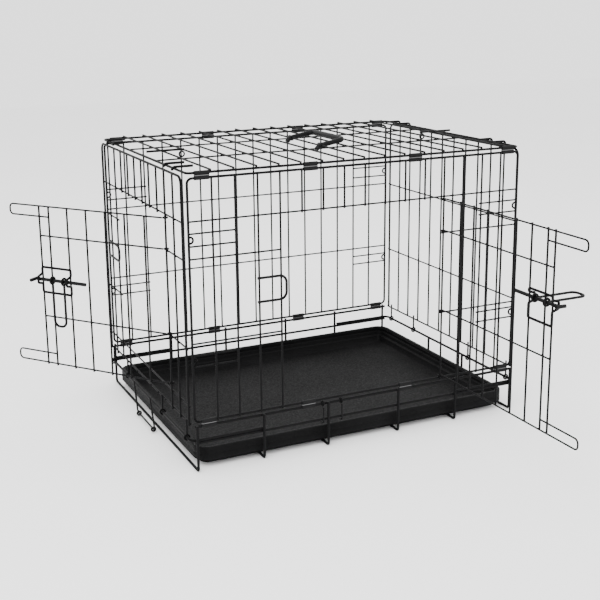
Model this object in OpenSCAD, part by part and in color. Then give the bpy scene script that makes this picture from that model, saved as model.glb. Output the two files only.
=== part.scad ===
// Folding wire dog crate with two doors, a slide-out floor pan and a carry handle.
// Front, top and back fold down as a parallelogram once both ends are folded inward.
// Millimetres. Origin: centre of the crate's footprint on the floor, +Z up, -Y front.

/* [Crate] */
// Length of the front and back panels between corner wire centres
crate_l = 609.6; // [450:0.1:1200]
// Depth between the front and back panel planes
crate_d = 457.2; // [300:0.1:800]
// Height of the top panel frame wire above the floor
crate_h = 483.5; // [350:0.5:900]
// Number of bays between vertical wires on the front panel
bays = 16; // [10:1:28]
// Number of bays between vertical wires on an end panel
end_bays = 11; // [7:1:20]

/* [Wire] */
// Diameter of the panel frame wires
frame_wire = 4; // [3:0.1:6]
// Diameter of the vertical filler wires
fill_wire = 3.2; // [2:0.1:5]
// Diameter of the horizontal row wires
row_wire = 2.8; // [2:0.1:4]
// Diameter of the base wires
base_wire = 4.5; // [3.5:0.1:7]
// Diameter of the keeper, lever and hook wires
latch_wire = 4.2; // [2.5:0.1:5]
// Diameter of the sliding bolts
bolt_wire = 6; // [4:0.1:8]

/* [Base] */
// Height of the base's upper side rail
base_top_z = 76; // [60:0.5:110]
// Height of the base's lower side rail
base_low_z = 48; // [30:0.5:58]
// Length of each end rail's leg along the side rails
end_leg = 118; // [60:1:200]

/* [Doors] */
// Bay wire that closes the left side of the front doorway
door_wire_l = 4; // [2:1:8]
// Bay wire that carries the front door's hinge eyes
door_wire_r = 12; // [9:1:14]
// How far the front door stands open
front_open = 90; // [0:1:110]
// How far the end door stands open
end_open = 38; // [0:1:110]
// Width of the front door to its end wire
front_door_w = 288; // [200:1:500]
// Width of the end door to its end wire
end_door_w = 250; // [150:1:400]

/* [Pan] */
// Height of the pan's rim above the floor
pan_rim_z = 35; // [20:0.5:39]
// Corner radius of the pan
pan_corner = 25; // [8:1:60]
// Wall thickness of the pan
pan_wall = 2; // [1.5:0.1:4]

/* [Handle] */
// Distance between the outer faces of the handle's two sleeves
handle_w = 134; // [90:1:160]
// Distance from the handle's pivot wire to its grip
handle_reach = 45; // [30:1:80]
// Diameter of the grip
grip_d = 11; // [8:0.5:18]

/* [Fits] */
// Gap left at a weld between two touching wires of one panel
weld_gap = 0.05; // [0.02:0.01:0.1]
// Radial clearance of an eye or clip that turns on a wire
turn_gap = 0.35; // [0.2:0.05:0.8]

/* [Hidden] */
$fn = 32;
seam = 0.02;
fr = frame_wire / 2;
vr = fill_wire / 2;
rr = row_wire / 2;
br = base_wire / 2;
lr = latch_wire / 2;
pitch = crate_l / bays;
rail_gap = 8;
side_bot_z = base_top_z + rail_gap;
side_top_z = crate_h - rail_gap;
// Side panels: verticals lie outside the rails, rows inside the verticals.
side_v = fr + vr + weld_gap;
side_r = side_v - vr - rr - weld_gap;
// End panels: one flat frame outside the side panels' corners, rows on its inner face.
end_x = 7;
end_y = 8;
end_pitch = (crate_d - 2 * end_y) / end_bays;
end_top_z = side_top_z + 2.5;
end_bot_z = base_top_z + 3;
end_r = vr + rr + weld_gap;
end_in = end_y + fr + weld_gap;
end_rail_z = base_low_z + 2 * br + 0.1;
// Doors: rows leave the eyes on a tangent and verticals lie outside the rows.
eye_r = vr + turn_gap + rr;
door_v = eye_r + rr + vr + weld_gap;
bolt_o = door_v + vr + 0.45 + bolt_wire / 2 + turn_gap + 2 * lr;
bracket_o = door_v + vr + lr + weld_gap;
lever_eye = bolt_wire / 2 + turn_gap + lr;
side_hx = door_wire_r * pitch;
end_hy = end_y + 2 * end_pitch;
header_z = 409;
top_wire_z = crate_h + fr + vr + weld_gap;
top_row_z = top_wire_z - vr - rr - weld_gap;
handle_mid = 220;
rows_z = [350, 208];
// Short rows beside a door pass just under its hinge eyes.
short_z = [346, 204];
clip_len = 24;

powder = [0.06, 0.06, 0.065];
steel = [0.1, 0.1, 0.1];
plastic = [0.04, 0.04, 0.045];

// ---- Wire helpers ----

function unit(v) = v / norm(v);

// Straight round wire from a to b.
module rod(a, b, d) {
    v = b - a;
    translate(a) rotate([0, acos(v[2] / norm(v)), atan2(v[1], v[0])]) cylinder(d = d, h = norm(v));
}

// Angle turned between two directions.
function turn(u, w) = acos(max(-1, min(1, u * w)));

// Length that a bend of radius r takes off each leg at point i of a path.
function cut(p, i, r) = (i <= 0 || i >= len(p) - 1) ? 0
    : r * tan(turn(unit(p[i] - p[i - 1]), unit(p[i + 1] - p[i])) / 2);

// Bend of radius r at point p, arriving along u and leaving along w.
module elbow(p, u, w, r, d) {
    n = unit(cross(u, w));
    s = p - u * r * tan(turn(u, w) / 2);
    c = s + r * cross(n, u);
    x = cross(u, n);
    multmatrix([for (i = [0 : 2]) [x[i], u[i], n[i], c[i]]])
        rotate_extrude(angle = turn(u, w)) translate([r, 0]) circle(d = d);
}

// Bent wire through the points of p, with bends of radius r.
module wire(p, d, r) {
    for (i = [0 : len(p) - 2]) {
        u = unit(p[i + 1] - p[i]);
        rod(p[i] + u * (cut(p, i, r) + (i > 0 ? seam : 0)), p[i + 1] - u * (cut(p, i + 1, r)
            + (i < len(p) - 2 ? seam : 0)), d);
    }
    for (i = [1 : len(p) - 2]) elbow(p[i], unit(p[i] - p[i - 1]), unit(p[i + 1] - p[i]), r, d);
}

// Closed wire eye about the line through c along axis.
module eye(c, axis, r, d) {
    rot = axis == "x" ? [0, 90, 0] : axis == "y" ? [90, 0, 0] : [0, 0, 0];
    translate(c) rotate(rot) rotate_extrude() translate([r, 0]) circle(d = d);
}

// Corner coordinates to the shared frame.
module placed() { translate([-crate_l / 2, -crate_d / 2, 0]) children(); }

// Left-right mirror about the crate's middle.
module other_end() { translate([crate_l, 0, 0]) mirror([1, 0, 0]) children(); }

// Front-back mirror about the crate's middle.
module other_side() { translate([0, crate_d, 0]) mirror([0, 1, 0]) children(); }

// ---- Side panels ----

// Rounded frame of a side panel in the plane y = 0, cut into four bent wires.
module side_frame() {
    r = 8;
    z0 = side_bot_z;
    z1 = side_top_z;
    wire([[crate_l / 2, 0, z0], [0, 0, z0], [0, 0, z1], [crate_l / 2, 0, z1]], frame_wire, r);
    wire([[crate_l / 2 + seam, 0, z0], [crate_l, 0, z0], [crate_l, 0, z1], [crate_l / 2 + seam, 0, z1]],
        frame_wire, r);
}

// One vertical at bay wire i between two heights.
module side_vertical(i, z0, z1) { rod([i * pitch, -side_v, z0], [i * pitch, -side_v, z1], fill_wire); }

// One row between two x positions.
module side_row(x0, x1, z) { rod([x0, -side_r, z], [x1, -side_r, z], row_wire); }

// Half-ring loop on each corner wire at height z.
module corner_loops(z) {
    r = 5;
    for (m = [0, 1]) translate([m * crate_l, 0, z]) mirror([m, 0, 0])
        translate([fr + seam, 0, 0]) rotate([90, 0, 0]) rotate([0, 0, -90])
            rotate_extrude(angle = 180) translate([r, 0]) circle(d = fill_wire);
}

module front_panel() {
    stub = 2;
    color(powder) placed() {
        side_frame();
        for (i = [1 : bays - 1]) {
            in_door = i > door_wire_l && i < door_wire_r;
            side_vertical(i, in_door ? header_z - stub : side_bot_z - 1, side_top_z + 1);
        }
        x_in = fr + weld_gap;
        xl = door_wire_l * pitch + stub;
        xr = side_hx - stub;
        side_row(x_in, crate_l - x_in, header_z);
        side_row(x_in, xl, rows_z[0]);
        side_row(xr, crate_l - x_in, short_z[0]);
        side_row(x_in, xl, rows_z[1] + 6);
        side_row(xr, crate_l - x_in, short_z[1]);
        for (z = [390, 370, 194, 176]) {
            side_row(x_in, 2 * pitch + stub, z);
            side_row(14 * pitch - stub, crate_l - x_in, z);
        }
        for (z = [380, 185]) corner_loops(z);
    }
}

module back_panel() {
    stub = 2;
    color(powder) placed() other_side() {
        side_frame();
        for (i = [1 : bays - 1]) side_vertical(i, side_bot_z - 1, side_top_z + 1);
        x_in = fr + weld_gap;
        for (z = [rows_z[0], rows_z[1] + 6]) side_row(x_in, crate_l - x_in, z);
        for (z = [388, 368, 197, 180]) {
            side_row(x_in, 2 * pitch + stub, z);
            side_row(14 * pitch - stub, crate_l - x_in, z);
        }
        for (z = [378, 188.5]) corner_loops(z);
    }
}

// ---- Top panel ----

module top_panel() {
    r = 8;
    half = crate_l / 2;
    color(powder) placed() {
        wire([[half, 0, crate_h], [0, 0, crate_h], [0, crate_d, crate_h], [half, crate_d, crate_h]],
            frame_wire, r);
        wire([[half + seam, 0, crate_h], [crate_l, 0, crate_h], [crate_l, crate_d, crate_h],
            [half + seam, crate_d, crate_h]], frame_wire, r);
        for (i = [1 : bays - 1])
            rod([i * pitch, -1, top_wire_z], [i * pitch, crate_d + 1, top_wire_z], fill_wire);
        for (y = [146, 295])
            rod([fr + weld_gap, y, top_row_z], [crate_l - fr - weld_gap, y, top_row_z], row_wire);
    }
}

// Hook wires lying over the top's end wire, in two pairs, ending short of the end panel.
module top_hooks() {
    z = crate_h + fr + lr + weld_gap;
    for (y = [46, 86, 371, 411]) rod([-fr - 0.2, y, z], [27, y, z], latch_wire);
}

module top_hooks_left() { color(powder) placed() top_hooks(); }

module top_hooks_right() { color(powder) placed() other_end() top_hooks(); }

// Short catch wire across the first bays, with a small ring under its inner end.
module top_catch() {
    z = top_wire_z + vr + fr + weld_gap;
    ring = 4.5;
    y = 208;
    rod([4, y, z], [70, y, z], frame_wire);
    eye([66, y, z - fr - weld_gap - ring - rr], "y", ring, row_wire);
}

module top_catch_left() { color(powder) placed() top_catch(); }

module top_catch_right() { color(powder) placed() other_end() top_catch(); }

// ---- Clips ----

// Pressed clip: two open lobes and the web between them, for rails at z0 and z0 + rail_gap.
module clip(x, z0) {
    wall = 0.85;
    bore = fr + turn_gap;
    low = br + turn_gap - 0.25;
    translate([x - clip_len / 2, 0, z0]) rotate([90, 0, 90]) linear_extrude(clip_len) difference() {
        union() {
            circle(r = low + wall);
            translate([0, rail_gap]) circle(r = bore + wall);
            translate([-2, 0]) square([4, rail_gap]);
        }
        circle(r = low);
        translate([0, rail_gap]) circle(r = bore);
    }
}

module clips_bottom_front() { color(steel) placed() for (x = [24, 201, 388, 588]) clip(x, base_top_z); }

module clips_bottom_back() {
    color(steel) placed() other_side() for (x = [24, 209.5, 400, 588]) clip(x, base_top_z);
}

module clips_top() { for (x = [24, 207.6, 402, 588]) clip(x, side_top_z); }

module clips_top_front() { color(steel) placed() clips_top(); }

module clips_top_back() { color(steel) placed() other_side() clips_top(); }

// ---- End panels ----

// Frame and eyes shared by both end panels, drawn at the left end.
module end_frame() {
    for (s = [0, 1]) translate([0, s * crate_d, 0]) mirror([0, s, 0])
        wire([[-end_x, end_y, end_bot_z - 2], [-end_x, end_y, end_top_z],
            [-end_x, crate_d / 2 - s * seam, end_top_z]], frame_wire, 12);
    x = -end_x + 2 * vr + weld_gap;
    rod([x, end_in, end_bot_z], [x, crate_d - end_in, end_bot_z], fill_wire);
    e = br + turn_gap + vr;
    for (y = [20, 143, 345, 437]) {
        rod([-end_x, y, end_rail_z + e + vr + seam], [-end_x, y, end_bot_z + 5], fill_wire);
        eye([-end_x, y, end_rail_z], "y", e, fill_wire);
    }
}

// Fill wire k of an end panel between two heights.
module end_vertical(k, z0, z1) {
    y = end_y + k * end_pitch;
    rod([-end_x, y, z0], [-end_x, y, z1], fill_wire);
}

// Row of an end panel between two y positions.
module end_row(y0, y1, z) { rod([-end_x + end_r, y0, z], [-end_x + end_r, y1, z], row_wire); }

module left_end_panel() {
    z1 = end_top_z - fr - weld_gap;
    ya = end_hy + 2;
    yb = end_y + 9 * end_pitch - 2;
    color(powder) placed() {
        end_frame();
        for (k = [1 : end_bays - 1]) end_vertical(k, (k > 2 && k < 9) ? 403 : end_bot_z - 2, z1);
        for (z = [405, 108]) end_row(end_in, crate_d - end_in, z);
        for (z = short_z) {
            end_row(end_in, ya, z);
            end_row(yb, crate_d - end_in, z);
        }
    }
}

module right_end_panel() {
    color(powder) placed() other_end() {
        end_frame();
        for (k = [1 : end_bays - 1]) end_vertical(k, end_bot_z - 2, end_top_z - fr - weld_gap);
        for (z = rows_z) end_row(end_in, crate_d - end_in, z);
    }
}

// ---- Doors, drawn as x = width from the hinge, y = outward, z = height ----

module at_front_door() {
    placed() translate([side_hx, -side_v, 0]) rotate([0, 0, 180 + front_open]) children();
}

module at_end_door() { placed() translate([-end_x, end_hy, 0]) rotate([0, 0, 90 + end_open]) children(); }

// Door leaf: four rows that start as hinge eyes, verticals, and two finger loops.
module leaf(w, reach, first, step, count, rows, drop, back) {
    tip = 1.8;
    w0 = sqrt((eye_r + rr) * (eye_r + rr) - (eye_r - rr) * (eye_r - rr)) + weld_gap;
    for (i = [0 : 3]) {
        eye([0, 0, rows[i]], "z", eye_r, row_wire);
        if (i == 1 || i == 2) rod([w0, eye_r, rows[i]], [w + 2, eye_r, rows[i]], row_wire);
    }
    for (i = [0, 3]) {
        z1 = rows[i] - (i == 0 ? drop : -drop);
        wire([[w0, eye_r, rows[i]], [reach, eye_r, rows[i]], [reach, eye_r, z1], [back, eye_r, z1]],
            row_wire, 7);
    }
    for (k = [0 : count - 1])
        rod([first + k * step, door_v, rows[3] - tip], [first + k * step, door_v, rows[0] + tip], fill_wire);
    rod([w, door_v, rows[3] - tip], [w, door_v, rows[0] + tip], fill_wire);
}

// Bracket: a rounded frame whose upright sides step outward round the bolt.
module bracket(w0, w1, z0, zb, z1) {
    o = bracket_o;
    k = bolt_o + bolt_wire / 2 + turn_gap + lr + 0.3;
    root = 9;
    flat = 5.5;
    for (s = [0, 1]) {
        a = s == 0 ? w0 : w1;
        m = (w0 + w1) / 2 + s * seam;
        wire([[m, o, z1], [a, o, z1], [a, o, zb + root], [a, k, zb + flat], [a, k, zb - flat],
            [a, o, zb - root], [a, o, z0], [m, o, z0]], latch_wire, 3);
    }
}

// Sliding bolt with a cross piece at its outer end.
module bolt(w0, w1, zb, out) {
    tuck = 6;
    rod([w0, bolt_o, zb], [w1 - bolt_wire / 2 - seam, bolt_o, zb], bolt_wire);
    rod([w1, bolt_o - tuck, zb], [w1, bolt_o + out, zb], bolt_wire);
}

// Lever: two eyes on the bolt and a U of wire, pointing outward before it is swung down.
module lever(wa, wb, zb, len, down) {
    root = lever_eye + lr + seam;
    translate([0, bolt_o, zb]) rotate([-down, 0, 0]) {
        for (a = [wa, wb]) eye([a, 0, 0], "x", lever_eye, latch_wire);
        wire([[wa, root, 0], [wa, len, 0], [wb, len, 0], [wb, root, 0]], latch_wire, 10);
    }
}

module front_door() {
    color(powder) at_front_door() leaf(front_door_w, 363, 42, pitch, 7, [405, 350, 208, 89], 17, 274);
}

module front_door_bracket() { color(powder) at_front_door() bracket(226, 283, 256, 288, 303); }

module front_bolt() { color(powder) at_front_door() bolt(183, 291, 288, 12); }

module front_lever() { color(powder) at_front_door() lever(234, 262, 288, 76, 0); }

module end_door() {
    color(powder) at_end_door() leaf(end_door_w, 315, 36.5, 38.7, 6, [401, 350, 208, 123], 18, 232);
}

module end_door_bracket() { color(powder) at_end_door() bracket(187.5, 247.5, 253, 277, 297); }

module end_bolt() { color(powder) at_end_door() bolt(153, 257, 277, 14); }

module end_lever() { color(powder) at_end_door() lever(198, 222, 277, 80, 90); }

// ---- Keepers ----

// D-shaped keeper wire lying on the outer face of a panel.
module front_keeper() {
    y = -side_v - vr - lr - weld_gap;
    color(powder) placed() wire([[110, y, 309], [160, y, 309], [160, y, 270], [110, y, 270]], latch_wire, 12);
}

module end_keeper() {
    x = -end_x - vr - lr - weld_gap;
    color(powder) placed()
        wire([[x, 414, 299], [x, 352, 299], [x, 352, 271], [x, 414, 271]], latch_wire, 10);
}

// ---- Base ----

module base_frame() {
    stake_y = -2 * br - weld_gap;
    color(powder) placed() {
        for (y = [0, crate_d], z = [base_top_z, base_low_z]) rod([-1, y, z], [crate_l + 1, y, z], base_wire);
        for (m = [0, 1]) translate([m * crate_l, 0, 0]) mirror([m, 0, 0])
            wire([[end_leg, 0, end_rail_z], [-end_x, 0, end_rail_z], [-end_x, crate_d, end_rail_z],
                [end_leg, crate_d, end_rail_z]], base_wire, 12);
        for (x = [2.2, 118, 236, 372, 489, crate_l - 2.2])
            wire([[x, stake_y, base_top_z + 3], [x, stake_y, br], [x, crate_d - stake_y, br],
                [x, crate_d - stake_y, base_top_z + 3]], base_wire, 4);
        for (y = [163, 285]) wire([[crate_l + end_x, y, end_rail_z - br - weld_gap],
            [crate_l + end_x, y, br], [crate_l + 0.1, y, br]], base_wire, 3);
    }
}

// ---- Pan ----

// Rounded rectangle of the pan's plan, pulled in by e.
module pan_plan(e) {
    x0 = 5 + e;
    x1 = crate_l - 5 - e;
    y0 = 3 + e;
    y1 = crate_d - 3 - e;
    r = max(pan_corner - e, 4);
    translate([x0 + r, y0]) square([x1 - x0 - 2 * r, y1 - y0]);
    translate([x0, y0 + r]) square([x1 - x0, y1 - y0 - 2 * r]);
    for (x = [x0 + r, x1 - r], y = [y0 + r, y1 - r]) translate([x, y]) circle(r = r);
}

// Slab of the pan's plan between two heights.
module pan_slab(e, z0, z1) { translate([0, 0, z0]) linear_extrude(z1 - z0) pan_plan(e); }

module pan() {
    foot_z = 2 * br + 0.2;
    ledge_z = 22;
    color(plastic) placed() difference() {
        union() {
            pan_slab(10, foot_z, pan_rim_z);
            pan_slab(0, pan_rim_z - 20, pan_rim_z - 18);
            pan_slab(0.01, pan_rim_z - 22, pan_rim_z);
        }
        pan_slab(22, foot_z + pan_wall, ledge_z + 1);
        pan_slab(16, ledge_z, pan_rim_z + 1);
        difference() {
            pan_slab(pan_wall, 0, pan_rim_z - pan_wall);
            pan_slab(10, 0, pan_rim_z);
        }
    }
}

// Wire gate at the mouth of the pan, drawn at the left end.
module pan_stop() {
    x = -end_x - br - lr - 0.6;
    z0 = 6;
    top = 60;
    gate_wire = 3.2;
    color(powder) placed() {
        wire([[x, 199, top], [x, 176, z0], [x, 276, z0], [x, 292, top]], gate_wire, 6);
        for (y = [184, 268]) eye([x, y, z0], "y", gate_wire + turn_gap, gate_wire);
    }
}

// ---- Handle and hooks ----

module carry_handle() {
    sleeve = 12;
    r = 5;
    z = top_wire_z;
    rise = 8;
    arm = 9;
    ya = handle_mid - handle_w / 2;
    yb = handle_mid + handle_w / 2;
    color(plastic) placed() translate([crate_l / 2, 0, z]) difference() {
        union() {
            for (y = [ya, yb - sleeve]) {
                translate([0, y + sleeve, 0]) rotate([90, 0, 0]) cylinder(r = r, h = sleeve);
                m = y + sleeve / 2;
                rod([0, m, 0], [handle_reach, m, rise], arm);
                rod([0, m, 0], [-9, m, -7], arm);
            }
            rod([handle_reach, ya + 1, rise], [handle_reach, yb - 1, rise], grip_d);
        }
        rod([0, ya - 1, 0], [0, yb + 1, 0], fill_wire + 2 * turn_gap);
    }
}

// Hook that hangs on the base's upper rail at x.
module fold_hook(x) {
    e = br + turn_gap + rr;
    tail = 34;
    eye([x, 0, base_top_z], "x", e, row_wire);
    translate([x, 0, base_top_z]) wire([[0, -e, -e - rr], [0, -e, -tail], [0, 5, -tail]], row_wire, 4);
}

module fold_hook_left() { color(powder) placed() fold_hook(227); }

module fold_hook_right() { color(powder) placed() fold_hook(262); }

base_frame();
clips_bottom_front();
clips_bottom_back();
front_panel();
back_panel();
top_panel();
clips_top_front();
clips_top_back();
top_hooks_left();
top_hooks_right();
top_catch_left();
top_catch_right();
left_end_panel();
right_end_panel();
front_door();
front_door_bracket();
front_bolt();
front_lever();
front_keeper();
end_door();
end_door_bracket();
end_bolt();
end_lever();
end_keeper();
pan();
pan_stop();
carry_handle();
fold_hook_left();
fold_hook_right();
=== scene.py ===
"""Folding wire dog crate: visual pieces, materials, lights and camera."""
import math

import bmesh
import bpy
from bpy.props import FloatProperty, IntProperty, PointerProperty
from mathutils import Matrix, Vector


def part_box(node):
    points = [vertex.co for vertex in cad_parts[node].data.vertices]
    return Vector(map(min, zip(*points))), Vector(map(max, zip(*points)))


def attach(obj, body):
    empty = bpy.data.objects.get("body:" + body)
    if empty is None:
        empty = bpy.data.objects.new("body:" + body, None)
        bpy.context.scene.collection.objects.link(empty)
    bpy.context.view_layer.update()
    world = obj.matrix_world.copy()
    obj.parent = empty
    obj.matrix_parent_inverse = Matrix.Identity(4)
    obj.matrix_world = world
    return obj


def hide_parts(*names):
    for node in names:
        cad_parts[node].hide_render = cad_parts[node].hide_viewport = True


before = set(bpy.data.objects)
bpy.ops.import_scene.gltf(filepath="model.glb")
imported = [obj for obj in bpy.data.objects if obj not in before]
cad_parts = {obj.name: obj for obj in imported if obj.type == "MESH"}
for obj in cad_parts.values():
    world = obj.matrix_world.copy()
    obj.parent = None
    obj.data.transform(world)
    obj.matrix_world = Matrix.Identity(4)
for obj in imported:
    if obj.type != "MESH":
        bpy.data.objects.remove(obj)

bl_info = {
    "name": "Wire Dog Crate",
    "blender": (4, 5, 0),
    "version": (1, 0, 0),
    "location": "3D Viewport > Sidebar > Crate",
    "description": "Models a folding wire dog crate's visual pieces and materials",
    "category": "Object",
}

MM = 0.001

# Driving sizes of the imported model, in millimetres from its front left floor corner.
LENGTH, DEPTH = 609.6, 457.2
BAYS = 16
CAMERA_AT, CAMERA_TURN = (-529.0, -1505.8, 737.8), (25.39, 13.36, -0.55)
# Heights of the clip webs and the half height of the painted highlight band on each, in millimetres.
CLIP_WEBS, WEB_HALF = (80, 479.5), 0.5
PITCH = LENGTH / BAYS
SIDE_V, SIDE_R = 3.65, 0.6
END_X, END_Y, END_R = 7.0, 8.0, 3.05
END_PITCH = (DEPTH - 2 * END_Y) / 11
TOP_V, TOP_R = 487.15, 484.1
HINGE_FRONT = (12 * PITCH, -SIDE_V)
FRONT_TURN, END_TURN = 270, 128
FRONT_ROWS, END_ROWS = (405, 350, 208, 89), (401, 350, 208, 123)
FRONT_VERTS = [42 + PITCH * k for k in range(7)] + [288]
END_VERTS = [36.5 + 38.7 * k for k in range(6)] + [250]
STAKES = (2.2, 118, 236, 372, 489, LENGTH - 2.2)
HOOK_YS = (46, 86, 371, 411)
HINGE_END = (-END_X, END_Y + 2 * END_PITCH)
ROW_O, VERT_O = 3.35, 6.4
HOOK_WIRE, HOOK_Z = 4.2, 487.65


def spot(x, y, z):
    """A point given in millimetres from the corner, in the shared frame in metres."""
    return Vector(((x - LENGTH / 2) * MM, (y - DEPTH / 2) * MM, z * MM))


def door_spot(hinge, turn, w, o, z):
    """A point of a door leaf from its width, its outward offset and its height."""
    a = math.radians(turn)
    return spot(
        hinge[0] + w * math.cos(a) - o * math.sin(a),
        hinge[1] + w * math.sin(a) + o * math.cos(a),
        z,
    )


# ---- Mesh helpers ----


def finish_mesh(bm, name, body, smooth=40):
    """Turns a bmesh into an object that rides on a body."""
    bmesh.ops.recalc_face_normals(bm, faces=bm.faces)
    mesh = bpy.data.meshes.new(name)
    bm.to_mesh(mesh)
    bm.free()
    mesh.set_sharp_from_angle(angle=math.radians(smooth))
    for poly in mesh.polygons:
        poly.use_smooth = True
    obj = bpy.data.objects.new(name, mesh)
    bpy.context.scene.collection.objects.link(obj)
    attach(obj, body)
    return obj


def sweep(bm, points, sizes, segments=20):
    """Closed tube through points; sizes are (half width, half height) pairs."""
    ring, first = None, None
    for i, p in enumerate(points):
        ahead = points[min(i + 1, len(points) - 1)] - points[max(i - 1, 0)]
        turn = ahead.to_track_quat("Z", "X").to_matrix().to_4x4()
        place = Matrix.Translation(p) @ turn @ Matrix.Diagonal((sizes[i][0], sizes[i][1], 1, 1))
        made = bmesh.ops.create_circle(bm, segments=segments, radius=1, matrix=place)
        verts = made["verts"]
        edges = list({e for v in verts for e in v.link_edges})
        if ring:
            bmesh.ops.bridge_loops(bm, edges=ring + edges)
        else:
            first = edges
        ring = edges
    for edges in (first, ring):
        bmesh.ops.holes_fill(bm, edges=edges, sides=segments)


def turned(bm, profile, place, steps=32):
    """Full turn of a closed (radius, height) profile about the local Z axis."""
    verts = [bm.verts.new(place @ Vector((r, 0, h))) for r, h in profile]
    edges = [bm.edges.new((verts[i], verts[(i + 1) % len(verts)])) for i in range(len(verts))]
    centre = place @ Vector((0, 0, 0))
    axis = (place @ Vector((0, 0, 1)) - centre).normalized()
    bmesh.ops.spin(
        bm,
        geom=verts + edges,
        cent=centre,
        axis=axis,
        angle=2 * math.pi,
        steps=steps,
        use_merge=True,
    )


# ---- Settings ----


class CratePanSettings(bpy.types.PropertyGroup):
    """Sizes of the moulded pan."""

    corner: FloatProperty(
        name="Corner", description="Corner radius of the rim", default=0.025, unit="LENGTH"
    )
    rim: FloatProperty(
        name="Rim", description="Height of the rim above the floor", default=0.035, unit="LENGTH"
    )
    skirt: FloatProperty(
        name="Skirt", description="Height of the skirt's lower edge", default=0.0131, unit="LENGTH"
    )
    segments: IntProperty(name="Segments", description="Faces round each corner", default=10)


class CrateHandleSettings(bpy.types.PropertyGroup):
    """Sizes of the carry handle."""

    reach: FloatProperty(
        name="Reach", description="Distance from pivot to grip", default=0.045, unit="LENGTH"
    )
    rise: FloatProperty(
        name="Rise", description="Height of the grip over the pivot", default=0.008, unit="LENGTH"
    )
    grip: FloatProperty(
        name="Grip", description="Half thickness of the grip", default=0.0055, unit="LENGTH"
    )


class CrateWeldSettings(bpy.types.PropertyGroup):
    """Sizes of the weld beads."""

    radius: FloatProperty(
        name="Bead", description="Radius of a weld bead", default=0.0021, unit="LENGTH"
    )
    sides: IntProperty(name="Sides", description="Faces round a bead", default=8)


class CrateStageSettings(bpy.types.PropertyGroup):
    """Light strengths."""

    key: FloatProperty(name="Key", description="Power of the main light", default=70.0)
    fill: FloatProperty(name="Fill", description="Power of the fill light", default=16.0)
    world: FloatProperty(name="World", description="Strength of the surrounding light", default=2.1)


class CrateSettings(bpy.types.PropertyGroup):
    """All settings of the crate."""

    pan: PointerProperty(type=CratePanSettings)
    handle: PointerProperty(type=CrateHandleSettings)
    weld: PointerProperty(type=CrateWeldSettings)
    stage: PointerProperty(type=CrateStageSettings)


# ---- Node materials ----


class Nodes:
    """Short calls for building a node tree."""

    def __init__(self, tree):
        self.tree = tree

    def add(self, kind, **values):
        """Adds a node; keys that start with i_ set inputs by name."""
        n = self.tree.nodes.new(kind)
        for key, value in values.items():
            if key.startswith("i_"):
                n.inputs[key[2:].replace("_", " ")].default_value = value
            else:
                setattr(n, key, value)
        return n

    def link(self, a, b):
        """Links an output socket to an input socket."""
        self.tree.links.new(a, b)

    def ramp(self, source, low, high, a=0.0, b=1.0):
        """Maps a value from low..high to a..b."""
        n = self.add("ShaderNodeMapRange")
        n.inputs["From Min"].default_value = low
        n.inputs["From Max"].default_value = high
        n.inputs["To Min"].default_value = a
        n.inputs["To Max"].default_value = b
        self.link(source, n.inputs["Value"])
        return n.outputs["Result"]


def grain_group():
    """Shared surface effect: broad and fine variation, and a bumped normal."""
    name = "Surface Grain"
    if name in bpy.data.node_groups:
        return bpy.data.node_groups[name]
    g = bpy.data.node_groups.new(name, "ShaderNodeTree")
    face = g.interface
    face.new_socket("Broad Scale", in_out="INPUT", socket_type="NodeSocketFloat")
    face.new_socket("Fine Scale", in_out="INPUT", socket_type="NodeSocketFloat")
    face.new_socket("Bump", in_out="INPUT", socket_type="NodeSocketFloat")
    face.new_socket("Broad", in_out="OUTPUT", socket_type="NodeSocketFloat")
    face.new_socket("Fine", in_out="OUTPUT", socket_type="NodeSocketFloat")
    face.new_socket("Normal", in_out="OUTPUT", socket_type="NodeSocketVector")
    n = Nodes(g)
    gin = n.add("NodeGroupInput")
    gout = n.add("NodeGroupOutput")
    coord = n.add("ShaderNodeTexCoord")
    broad = n.add("ShaderNodeTexNoise", i_Detail=3.0)
    fine = n.add("ShaderNodeTexNoise", i_Detail=2.0, i_Roughness=0.6)
    for tex, socket in ((broad, "Broad Scale"), (fine, "Fine Scale")):
        n.link(coord.outputs["Object"], tex.inputs["Vector"])
        n.link(gin.outputs[socket], tex.inputs["Scale"])
    bump = n.add("ShaderNodeBump", i_Distance=0.0004)
    n.link(gin.outputs["Bump"], bump.inputs["Strength"])
    n.link(fine.outputs["Fac"], bump.inputs["Height"])
    n.link(broad.outputs["Fac"], gout.inputs["Broad"])
    n.link(fine.outputs["Fac"], gout.inputs["Fine"])
    n.link(bump.outputs["Normal"], gout.inputs["Normal"])
    return g


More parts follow.
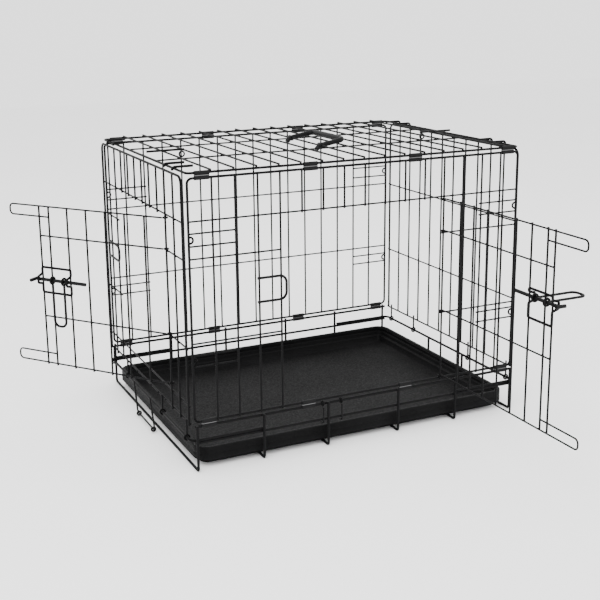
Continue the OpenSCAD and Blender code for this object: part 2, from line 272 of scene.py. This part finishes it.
def surface(name, dark, light, rough, broad, fine, bump, coat=0.0, gloss=0.35):
    """Principled material with colour, roughness and bump from the shared grain."""
    mat = bpy.data.materials.new(name)
    mat.use_nodes = True
    n = Nodes(mat.node_tree)
    shader = mat.node_tree.nodes["Principled BSDF"]
    grain = n.add("ShaderNodeGroup")
    grain.node_tree = grain_group()
    grain.inputs["Broad Scale"].default_value = broad
    grain.inputs["Fine Scale"].default_value = fine
    grain.inputs["Bump"].default_value = bump
    mix = n.add("ShaderNodeMix", data_type="RGBA")
    mix.inputs["A"].default_value = (*dark, 1)
    mix.inputs["B"].default_value = (*light, 1)
    n.link(n.ramp(grain.outputs["Broad"], 0.35, 0.68), mix.inputs["Factor"])
    edge = n.add("ShaderNodeNewGeometry")
    wear = n.add("ShaderNodeMix", data_type="RGBA")
    wear.inputs["B"].default_value = (*[min(1, c * 2.0 + 0.004) for c in light], 1)
    n.link(mix.outputs["Result"], wear.inputs["A"])
    n.link(n.ramp(edge.outputs["Pointiness"], 0.54, 0.62, 0, 0.5), wear.inputs["Factor"])
    n.link(wear.outputs["Result"], shader.inputs["Base Color"])
    n.link(n.ramp(grain.outputs["Fine"], 0.3, 0.7, rough[0], rough[1]), shader.inputs["Roughness"])
    n.link(grain.outputs["Normal"], shader.inputs["Normal"])
    shader.inputs["Specular IOR Level"].default_value = gloss
    shader.inputs["Coat Weight"].default_value = coat
    shader.inputs["Coat Roughness"].default_value = 0.18
    return mat


def pan_material():
    """Black moulded plastic with a fine speckled grain and sparse diagonal creases."""
    mat = surface(
        "Pan Plastic", (0.001, 0.001, 0.0011), (0.0035, 0.0035, 0.0037),
        (0.5, 0.75), 9.0, 380.0, 1.0, 0.0, 0.07
    )
    n = Nodes(mat.node_tree)
    shader = mat.node_tree.nodes["Principled BSDF"]
    coord = n.add("ShaderNodeTexCoord")
    turn = n.add("ShaderNodeMapping")
    turn.inputs["Rotation"].default_value = (0, 0, math.radians(38))
    n.link(coord.outputs["Object"], turn.inputs["Vector"])
    lines = n.add("ShaderNodeTexWave", i_Scale=2.2, i_Distortion=1.2, i_Detail=1.0)
    n.link(turn.outputs["Vector"], lines.inputs["Vector"])
    bump = n.add("ShaderNodeBump", i_Strength=0.12, i_Distance=0.0006)
    n.link(n.ramp(lines.outputs["Fac"], 0.985, 1.0), bump.inputs["Height"])
    old = shader.inputs["Normal"].links[0].from_socket
    n.link(old, bump.inputs["Normal"])
    n.link(bump.outputs["Normal"], shader.inputs["Normal"])
    return mat


def floor_material():
    """Pale matt floor with a faint unevenness."""
    return surface(
        "Studio Floor", (0.95, 0.95, 0.95), (0.97, 0.97, 0.97),
        (0.7, 0.8), 0.7, 60.0, 0.01
    )


# ---- Operators ----


class CRATE_OT_pan(bpy.types.Operator):
    """Model the slide-out floor pan with its rolled rim, skirt and stepped floor"""

    bl_idname = "crate.pan"
    bl_label = "Floor Pan"

    def execute(self, context):
        s = context.scene.crate.pan
        lo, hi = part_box("pan")
        middle, size = (lo + hi) / 2, hi - lo
        bm = bmesh.new()

        def ring(inset, z):
            # Rounded rectangle loop of the pan's plan, pulled in by inset.
            place = Matrix.Translation((middle.x, middle.y, z))
            wide = Matrix.Diagonal((size.x - 2 * inset, size.y - 2 * inset, 1, 1))
            made = bmesh.ops.create_grid(bm, x_segments=1, y_segments=1, size=0.5, matrix=place @ wide)
            cut = bmesh.ops.bevel(
                bm,
                geom=made["verts"],
                offset=max(s.corner - inset, 0.006),
                segments=s.segments,
                profile=0.5,
                affect="VERTICES",
                material=-1,
            )
            edges = list({e for v in cut["verts"] for e in v.link_edges})
            faces = list({f for e in edges for f in e.link_faces})
            bmesh.ops.delete(bm, geom=faces, context="FACES_ONLY")
            return edges

        rim, skirt = s.rim, s.skirt
        under = [(0.0229, 0.0048), (0.0112, 0.0048), (0.0102, 0.0058), (0.0098, rim - 0.0026),
                 (0.0024, rim - 0.0026), (0.0019, rim - 0.0034), (0.0019, skirt)]
        outside = [(0.0004, skirt), (0.0001, skirt + 0.0004), (0.0001, rim - 0.0138),
                   (0.0008, rim - 0.0128), (0.0008, rim - 0.0112), (0.0001, rim - 0.0102),
                   (0.0001, rim - 0.0012), (0.0004, rim - 0.0004), (0.0012, rim)]
        inside = [(0.0062, rim), (0.0072, rim - 0.0006), (0.0088, rim - 0.0068), (0.0096, rim - 0.0074),
                  (0.0122, rim - 0.0076), (0.013, rim - 0.0082), (0.0146, rim - 0.0142),
                  (0.0154, rim - 0.0148), (0.0196, rim - 0.015), (0.0204, rim - 0.0156),
                  (0.0228, 0.0098), (0.0238, 0.0088), (0.0262, 0.0084), (0.0272, 0.0078),
                  (0.0335, 0.0068)]
        first = last = None
        for inset, z in under + outside + inside:
            edges = ring(inset, z)
            if last:
                bmesh.ops.bridge_loops(bm, edges=last + edges)
            else:
                first = edges
            last = edges
        for edges in (first, last):
            bmesh.ops.contextual_create(bm, geom=edges)
        obj = finish_mesh(bm, "floor_pan", "pan", 35)
        obj.data.materials.append(pan_material())
        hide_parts("pan")
        return {"FINISHED"}


class CRATE_OT_handle(bpy.types.Operator):
    """Model the carry handle with its two sleeves, arms, tails and ribbed grip"""

    bl_idname = "crate.handle"
    bl_label = "Carry Handle"

    def execute(self, context):
        s = context.scene.crate.handle
        lo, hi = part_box("carry_handle")
        x0, z0 = spot(LENGTH / 2, 0, TOP_V).x, TOP_V * MM
        y0, y1 = lo.y + 0.006, hi.y - 0.006
        bm = bmesh.new()
        bend = 0.009
        path, sizes = [], []

        def add(x, y, z, w, h):
            path.append(Vector((x0 + x, y, z0 + z)))
            sizes.append((w, h))

        slope = s.rise / s.reach
        for side, y, inward in ((0, y0, 1), (1, y1, -1)):
            arm = [(0.0035, 0.0043), (0.012, 0.0041), (0.026, 0.0040), (s.reach - bend, 0.0042)]
            curve = [(k * math.pi / 12, 0.0043 + 0.0001 * k) for k in range(1, 6)]
            leg = [(x, y, x * slope, h) for x, h in arm]
            leg += [
                (
                    s.reach - bend + bend * math.sin(a),
                    y + inward * bend * (1 - math.cos(a)),
                    (s.reach - bend + bend * math.sin(a)) * slope,
                    h,
                )
                for a, h in curve
            ]
            if side:
                leg.reverse()
            for x, y_at, z, h in leg:
                add(x, y_at, z, h * 1.08, h)
            if not side:
                for k in range(13):
                    t = k / 12
                    swell = s.grip * (0.93 + 0.07 * math.sin(math.pi * t))
                    add(s.reach, y0 + bend + (y1 - y0 - 2 * bend) * t, s.rise, swell, swell)
        sweep(bm, path, sizes, 24)
        tail = [(-0.0035, -0.0027), (-0.006, -0.0047), (-0.009, -0.007)]
        for y in (y0, y1):
            points = [Vector((x0 + x, y, z0 + z)) for x, z in tail]
            sweep(bm, points, [(0.0043, 0.0043), (0.0044, 0.0044), (0.0036, 0.0036)], 24)
        ring = [(0.00187, -0.0059), (0.00187, 0.0059), (0.0044, 0.0059), (0.0049, 0.0054),
                (0.0049, -0.0054), (0.0044, -0.0059)]
        for y in (y0, y1):
            turned(bm, ring, Matrix.Translation((x0, y, z0)) @ Matrix.Rotation(math.pi / 2, 4, "X"))
        span = y1 - y0 - 2 * bend
        for k in range(7):
            y = y0 + bend + span * (0.2 + 0.1 * k)
            rib = [(0.0044, -0.0007), (0.0049, -0.0005), (0.00505, 0), (0.0049, 0.0005), (0.0044, 0.0007)]
            at = Vector((x0 + s.reach, y, z0 + s.rise - 0.0001))
            turned(bm, rib, Matrix.Translation(at) @ Matrix.Rotation(math.pi / 2, 4, "X"), 24)
        obj = finish_mesh(bm, "carry_grip", "carry_handle", 50)
        obj.data.materials.append(
            surface(
                "Handle Plastic", (0.001, 0.001, 0.0012), (0.004, 0.004, 0.0044),
                (0.4, 0.55), 40.0, 1400.0, 0.3, 0.0, 0.1
            )
        )
        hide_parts("carry_handle")
        return {"FINISHED"}


def bead_points():
    """Weld positions of every welded mat, by the body that carries them."""
    at = {}
    y = -(SIDE_V + SIDE_R) / 2 - 0.1
    front, back = [], []
    for i in range(1, BAYS):
        for z in (84, 475.5):
            if z > 400 or not 4 < i < 12:
                front.append(spot(i * PITCH, -2, z))
            back.append(spot(i * PITCH, DEPTH + 2, z))
        front.append(spot(i * PITCH, y, 409))
        if i <= 4 or i >= 12:
            front += [spot(i * PITCH, y, z) for z in ((350, 214) if i <= 4 else (346, 204))]
        if i <= 2 or i >= 14:
            front += [spot(i * PITCH, y, z) for z in (390, 370, 194, 176)]
            back += [spot(i * PITCH, DEPTH - y, z) for z in (388, 368, 197, 180)]
        back += [spot(i * PITCH, DEPTH - y, z) for z in (350, 214)]
    at["front"], at["back"] = front, back
    zt = (TOP_V + TOP_R) / 2
    at["top"] = [spot(i * PITCH, yy, zt) for i in range(1, BAYS) for yy in (146, 295)]
    at["top"] += [spot(i * PITCH, yy, 485.4) for i in range(1, BAYS) for yy in (0, DEPTH)]
    for body, sign, x0 in (("left_end", 1, 0), ("right_end", -1, LENGTH)):
        xr = x0 - sign * (END_X - END_R / 2)
        pts = []
        for k in range(12):
            yy = END_Y + k * END_PITCH
            pts.append(spot(xr, yy, 79))
            full = body == "right_end" or k <= 2 or k >= 9
            if full:
                rows = (346, 204) if body == "left_end" else (350, 208)
                pts += [spot(xr, yy, z) for z in rows]
            if body == "left_end":
                pts.append(spot(xr, yy, 405))
                if full:
                    pts.append(spot(xr, yy, 108))
            if 0 < k < 11:
                pts.append(spot(x0 - sign * END_X, yy, 476.2))
        at[body] = pts
    o = (ROW_O + VERT_O) / 2
    at["front_door"] = [
        door_spot(HINGE_FRONT, FRONT_TURN, w, o, z)
        for w in FRONT_VERTS
        for z in FRONT_ROWS
    ]
    at["end_door"] = [
        door_spot(HINGE_END, END_TURN, w, o, z)
        for w in END_VERTS
        for z in END_ROWS
    ]
    at["base"] = [
        spot(x, yy, z)
        for x in STAKES
        for z in (76, 48)
        for yy in (-2.3, DEPTH + 2.3)
    ]
    return at


class CRATE_OT_hooks(bpy.types.Operator):
    """Model the hooks that reach over the top's end wires and turn down to the end panels"""

    bl_idname = "crate.hooks"
    bl_label = "Top Hooks"

    def execute(self, context):
        mat = bpy.data.materials["Latch Wire"]
        half = HOOK_WIRE / 2 * MM
        bend, root, low = 5, 27, 482.4
        for name, sign, x0 in (("left", 1, 0), ("right", -1, LENGTH)):
            bm = bmesh.new()
            for y in HOOK_YS:
                path = [(root, HOOK_Z), (14, HOOK_Z)]
                for k in range(7):
                    a = k * math.pi / 12
                    path.append((-END_X + bend * (1 - math.sin(a)), HOOK_Z - bend * (1 - math.cos(a))))
                path.append((-END_X, low))
                points = [spot(x0 + sign * x, y, z) for x, z in path]
                sweep(bm, points, [(half, half)] * len(points), 16)
            obj = finish_mesh(bm, "hooks_" + name, "top", 60)
            obj.data.materials.append(mat)
            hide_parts("top_hooks_" + name)
        return {"FINISHED"}


class CRATE_OT_welds(bpy.types.Operator):
    """Model the resistance-weld beads where wires cross"""

    bl_idname = "crate.welds"
    bl_label = "Weld Beads"

    def execute(self, context):
        s = context.scene.crate.weld
        mat = bpy.data.materials.get("Coated Wire") or wire_material()
        for body, points in bead_points().items():
            bm = bmesh.new()
            for p in points:
                bmesh.ops.create_uvsphere(
                    bm,
                    u_segments=s.sides,
                    v_segments=5,
                    radius=s.radius,
                    matrix=Matrix.Translation(p) @ Matrix.Diagonal((1.0, 0.8, 0.85, 1)),
                )
            obj = finish_mesh(bm, "welds_" + body, body, 80)
            obj.data.materials.append(mat)
        return {"FINISHED"}


def wire_material():
    """Black powder coat on steel wire: slight orange peel and worn high spots."""
    return surface(
        "Coated Wire", (0.0006, 0.0006, 0.0007), (0.002, 0.002, 0.0022),
        (0.45, 0.6), 30.0, 700.0, 0.3, 0.0, 0.05
    )


def clip_material():
    """Coated spring steel with a painted highlight band along the web between a clip's two lobes."""
    mat = surface(
        "Clip Steel", (0.001, 0.001, 0.0012), (0.004, 0.004, 0.0042),
        (0.4, 0.55), 80.0, 600.0, 0.2, 0.0, 0.06
    )
    n = Nodes(mat.node_tree)
    shader = mat.node_tree.nodes["Principled BSDF"]
    # Painted highlight: a pale band at each clip web's height, picked out by object Z, lightens the base
    # colour there.
    coord = n.add("ShaderNodeTexCoord")
    split = n.add("ShaderNodeSeparateXYZ")
    n.link(coord.outputs["Object"], split.inputs["Vector"])
    highlight_mask = n.add("ShaderNodeMath", operation="ADD", use_clamp=True)
    for k, web_z in enumerate(CLIP_WEBS):
        highlight_band = n.add("ShaderNodeMath", operation="COMPARE")
        highlight_band.inputs[1].default_value = web_z * MM
        highlight_band.inputs[2].default_value = WEB_HALF * MM
        n.link(split.outputs["Z"], highlight_band.inputs[0])
        n.link(highlight_band.outputs["Value"], highlight_mask.inputs[k])
    painted_highlight = n.add("ShaderNodeMix", data_type="RGBA")
    painted_highlight.inputs["B"].default_value = (0.12, 0.12, 0.122, 1)
    n.link(shader.inputs["Base Color"].links[0].from_socket, painted_highlight.inputs["A"])
    n.link(highlight_mask.outputs["Value"], painted_highlight.inputs["Factor"])
    n.link(painted_highlight.outputs["Result"], shader.inputs["Base Color"])
    return mat


class CRATE_OT_finish(bpy.types.Operator):
    """Give every carried-over node its node material"""

    bl_idname = "crate.finish"
    bl_label = "Materials"

    def execute(self, context):
        coated = bpy.data.materials.get("Coated Wire") or wire_material()
        latch = surface(
            "Latch Wire", (0.0006, 0.0006, 0.0007), (0.0024, 0.0024, 0.0026),
            (0.36, 0.5), 60.0, 900.0, 0.3, 0.0, 0.08
        )
        clip = clip_material()
        for name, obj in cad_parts.items():
            if name.startswith("clips"):
                mat = clip
            elif any(word in name for word in ("bolt", "lever", "keeper", "hook", "catch", "stop")):
                mat = latch
            else:
                mat = coated
            obj.data.materials.clear()
            obj.data.materials.append(mat)
        return {"FINISHED"}


class CRATE_OT_stage(bpy.types.Operator):
    """Lay the floor, place the lights and set the camera"""

    bl_idname = "crate.stage"
    bl_label = "Stage"

    def execute(self, context):
        s = context.scene.crate.stage
        scene = context.scene
        bm = bmesh.new()
        bmesh.ops.create_grid(bm, x_segments=1, y_segments=1, size=6)
        mesh = bpy.data.meshes.new("studio_floor")
        bm.to_mesh(mesh)
        bm.free()
        floor = bpy.data.objects.new("studio_floor", mesh)
        floor.location.z = -0.0002
        scene.collection.objects.link(floor)
        floor.data.materials.append(floor_material())

        for name, place, aim, size, power in (
            ("key_light", (-1.6, -1.5, 2.4), (0, 0, 0.2), 1.6, s.key),
            ("fill_light", (2.2, -1.4, 1.6), (0, 0, 0.2), 2.2, s.fill),
            ("top_light", (0.3, 0.8, 2.8), (0, 0, 0.2), 2.4, s.fill * 1.3),
        ):
            data = bpy.data.lights.new(name, "AREA")
            data.size = size
            data.energy = power
            light = bpy.data.objects.new(name, data)
            light.location = place
            aim_at = Vector(aim) - Vector(place)
            light.rotation_euler = aim_at.to_track_quat("-Z", "Y").to_euler()
            scene.collection.objects.link(light)

        world = scene.world or bpy.data.worlds.new("World")
        scene.world = world
        world.use_nodes = True
        back = world.node_tree.nodes["Background"]
        back.inputs["Color"].default_value = (1.0, 1.0, 1.0, 1)
        back.inputs["Strength"].default_value = s.world

        data = bpy.data.cameras.new("camera")
        data.sensor_width = 36
        data.lens = 64.03
        data.shift_x = 0.0020
        data.shift_y = -0.08
        camera = bpy.data.objects.new("camera", data)
        yaw, pitch, roll = (math.radians(v) for v in CAMERA_TURN)
        ahead = Vector((math.sin(yaw) * math.cos(pitch), math.cos(yaw) * math.cos(pitch), -math.sin(pitch)))
        right = Vector((math.cos(yaw), -math.sin(yaw), 0))
        up = right.cross(ahead)
        across = right * math.cos(roll) + up * math.sin(roll)
        upward = up * math.cos(roll) - right * math.sin(roll)
        turn = Matrix((across, upward, -ahead)).transposed().to_4x4()
        camera.matrix_world = Matrix.Translation(spot(*CAMERA_AT)) @ turn
        scene.collection.objects.link(camera)
        scene.camera = camera
        return {"FINISHED"}


class CRATE_PT_panel(bpy.types.Panel):
    """Sidebar panel of the crate's settings and steps"""

    bl_idname = "CRATE_PT_panel"
    bl_label = "Wire Dog Crate"
    bl_space_type = "VIEW_3D"
    bl_region_type = "UI"
    bl_category = "Crate"

    def draw(self, context):
        s = context.scene.crate
        for group, names, step in (
            (s.pan, ("corner", "rim", "skirt", "segments"), "crate.pan"),
            (s.handle, ("reach", "rise", "grip"), "crate.handle"),
            (s.weld, ("radius", "sides"), "crate.welds"),
            (s.stage, ("key", "fill", "world"), "crate.stage"),
        ):
            box = self.layout.box()
            for name in names:
                box.prop(group, name)
            box.operator(step)
        self.layout.operator("crate.hooks")
        self.layout.operator("crate.finish")


CLASSES = (
    CratePanSettings,
    CrateHandleSettings,
    CrateWeldSettings,
    CrateStageSettings,
    CrateSettings,
    CRATE_OT_pan,
    CRATE_OT_handle,
    CRATE_OT_hooks,
    CRATE_OT_welds,
    CRATE_OT_finish,
    CRATE_OT_stage,
    CRATE_PT_panel,
)


def register():
    """Adds the classes and the scene's settings."""
    for cls in CLASSES:
        bpy.utils.register_class(cls)
    bpy.types.Scene.crate = PointerProperty(type=CrateSettings)


def unregister():
    """Takes the settings and classes away again."""
    del bpy.types.Scene.crate
    for cls in reversed(CLASSES):
        bpy.utils.unregister_class(cls)


def main():
    """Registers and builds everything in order."""
    register()
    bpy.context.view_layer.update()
    bpy.ops.crate.finish()
    bpy.ops.crate.pan()
    bpy.ops.crate.handle()
    bpy.ops.crate.hooks()
    bpy.ops.crate.welds()
    bpy.ops.crate.stage()


if __name__ == "__main__":
    main()
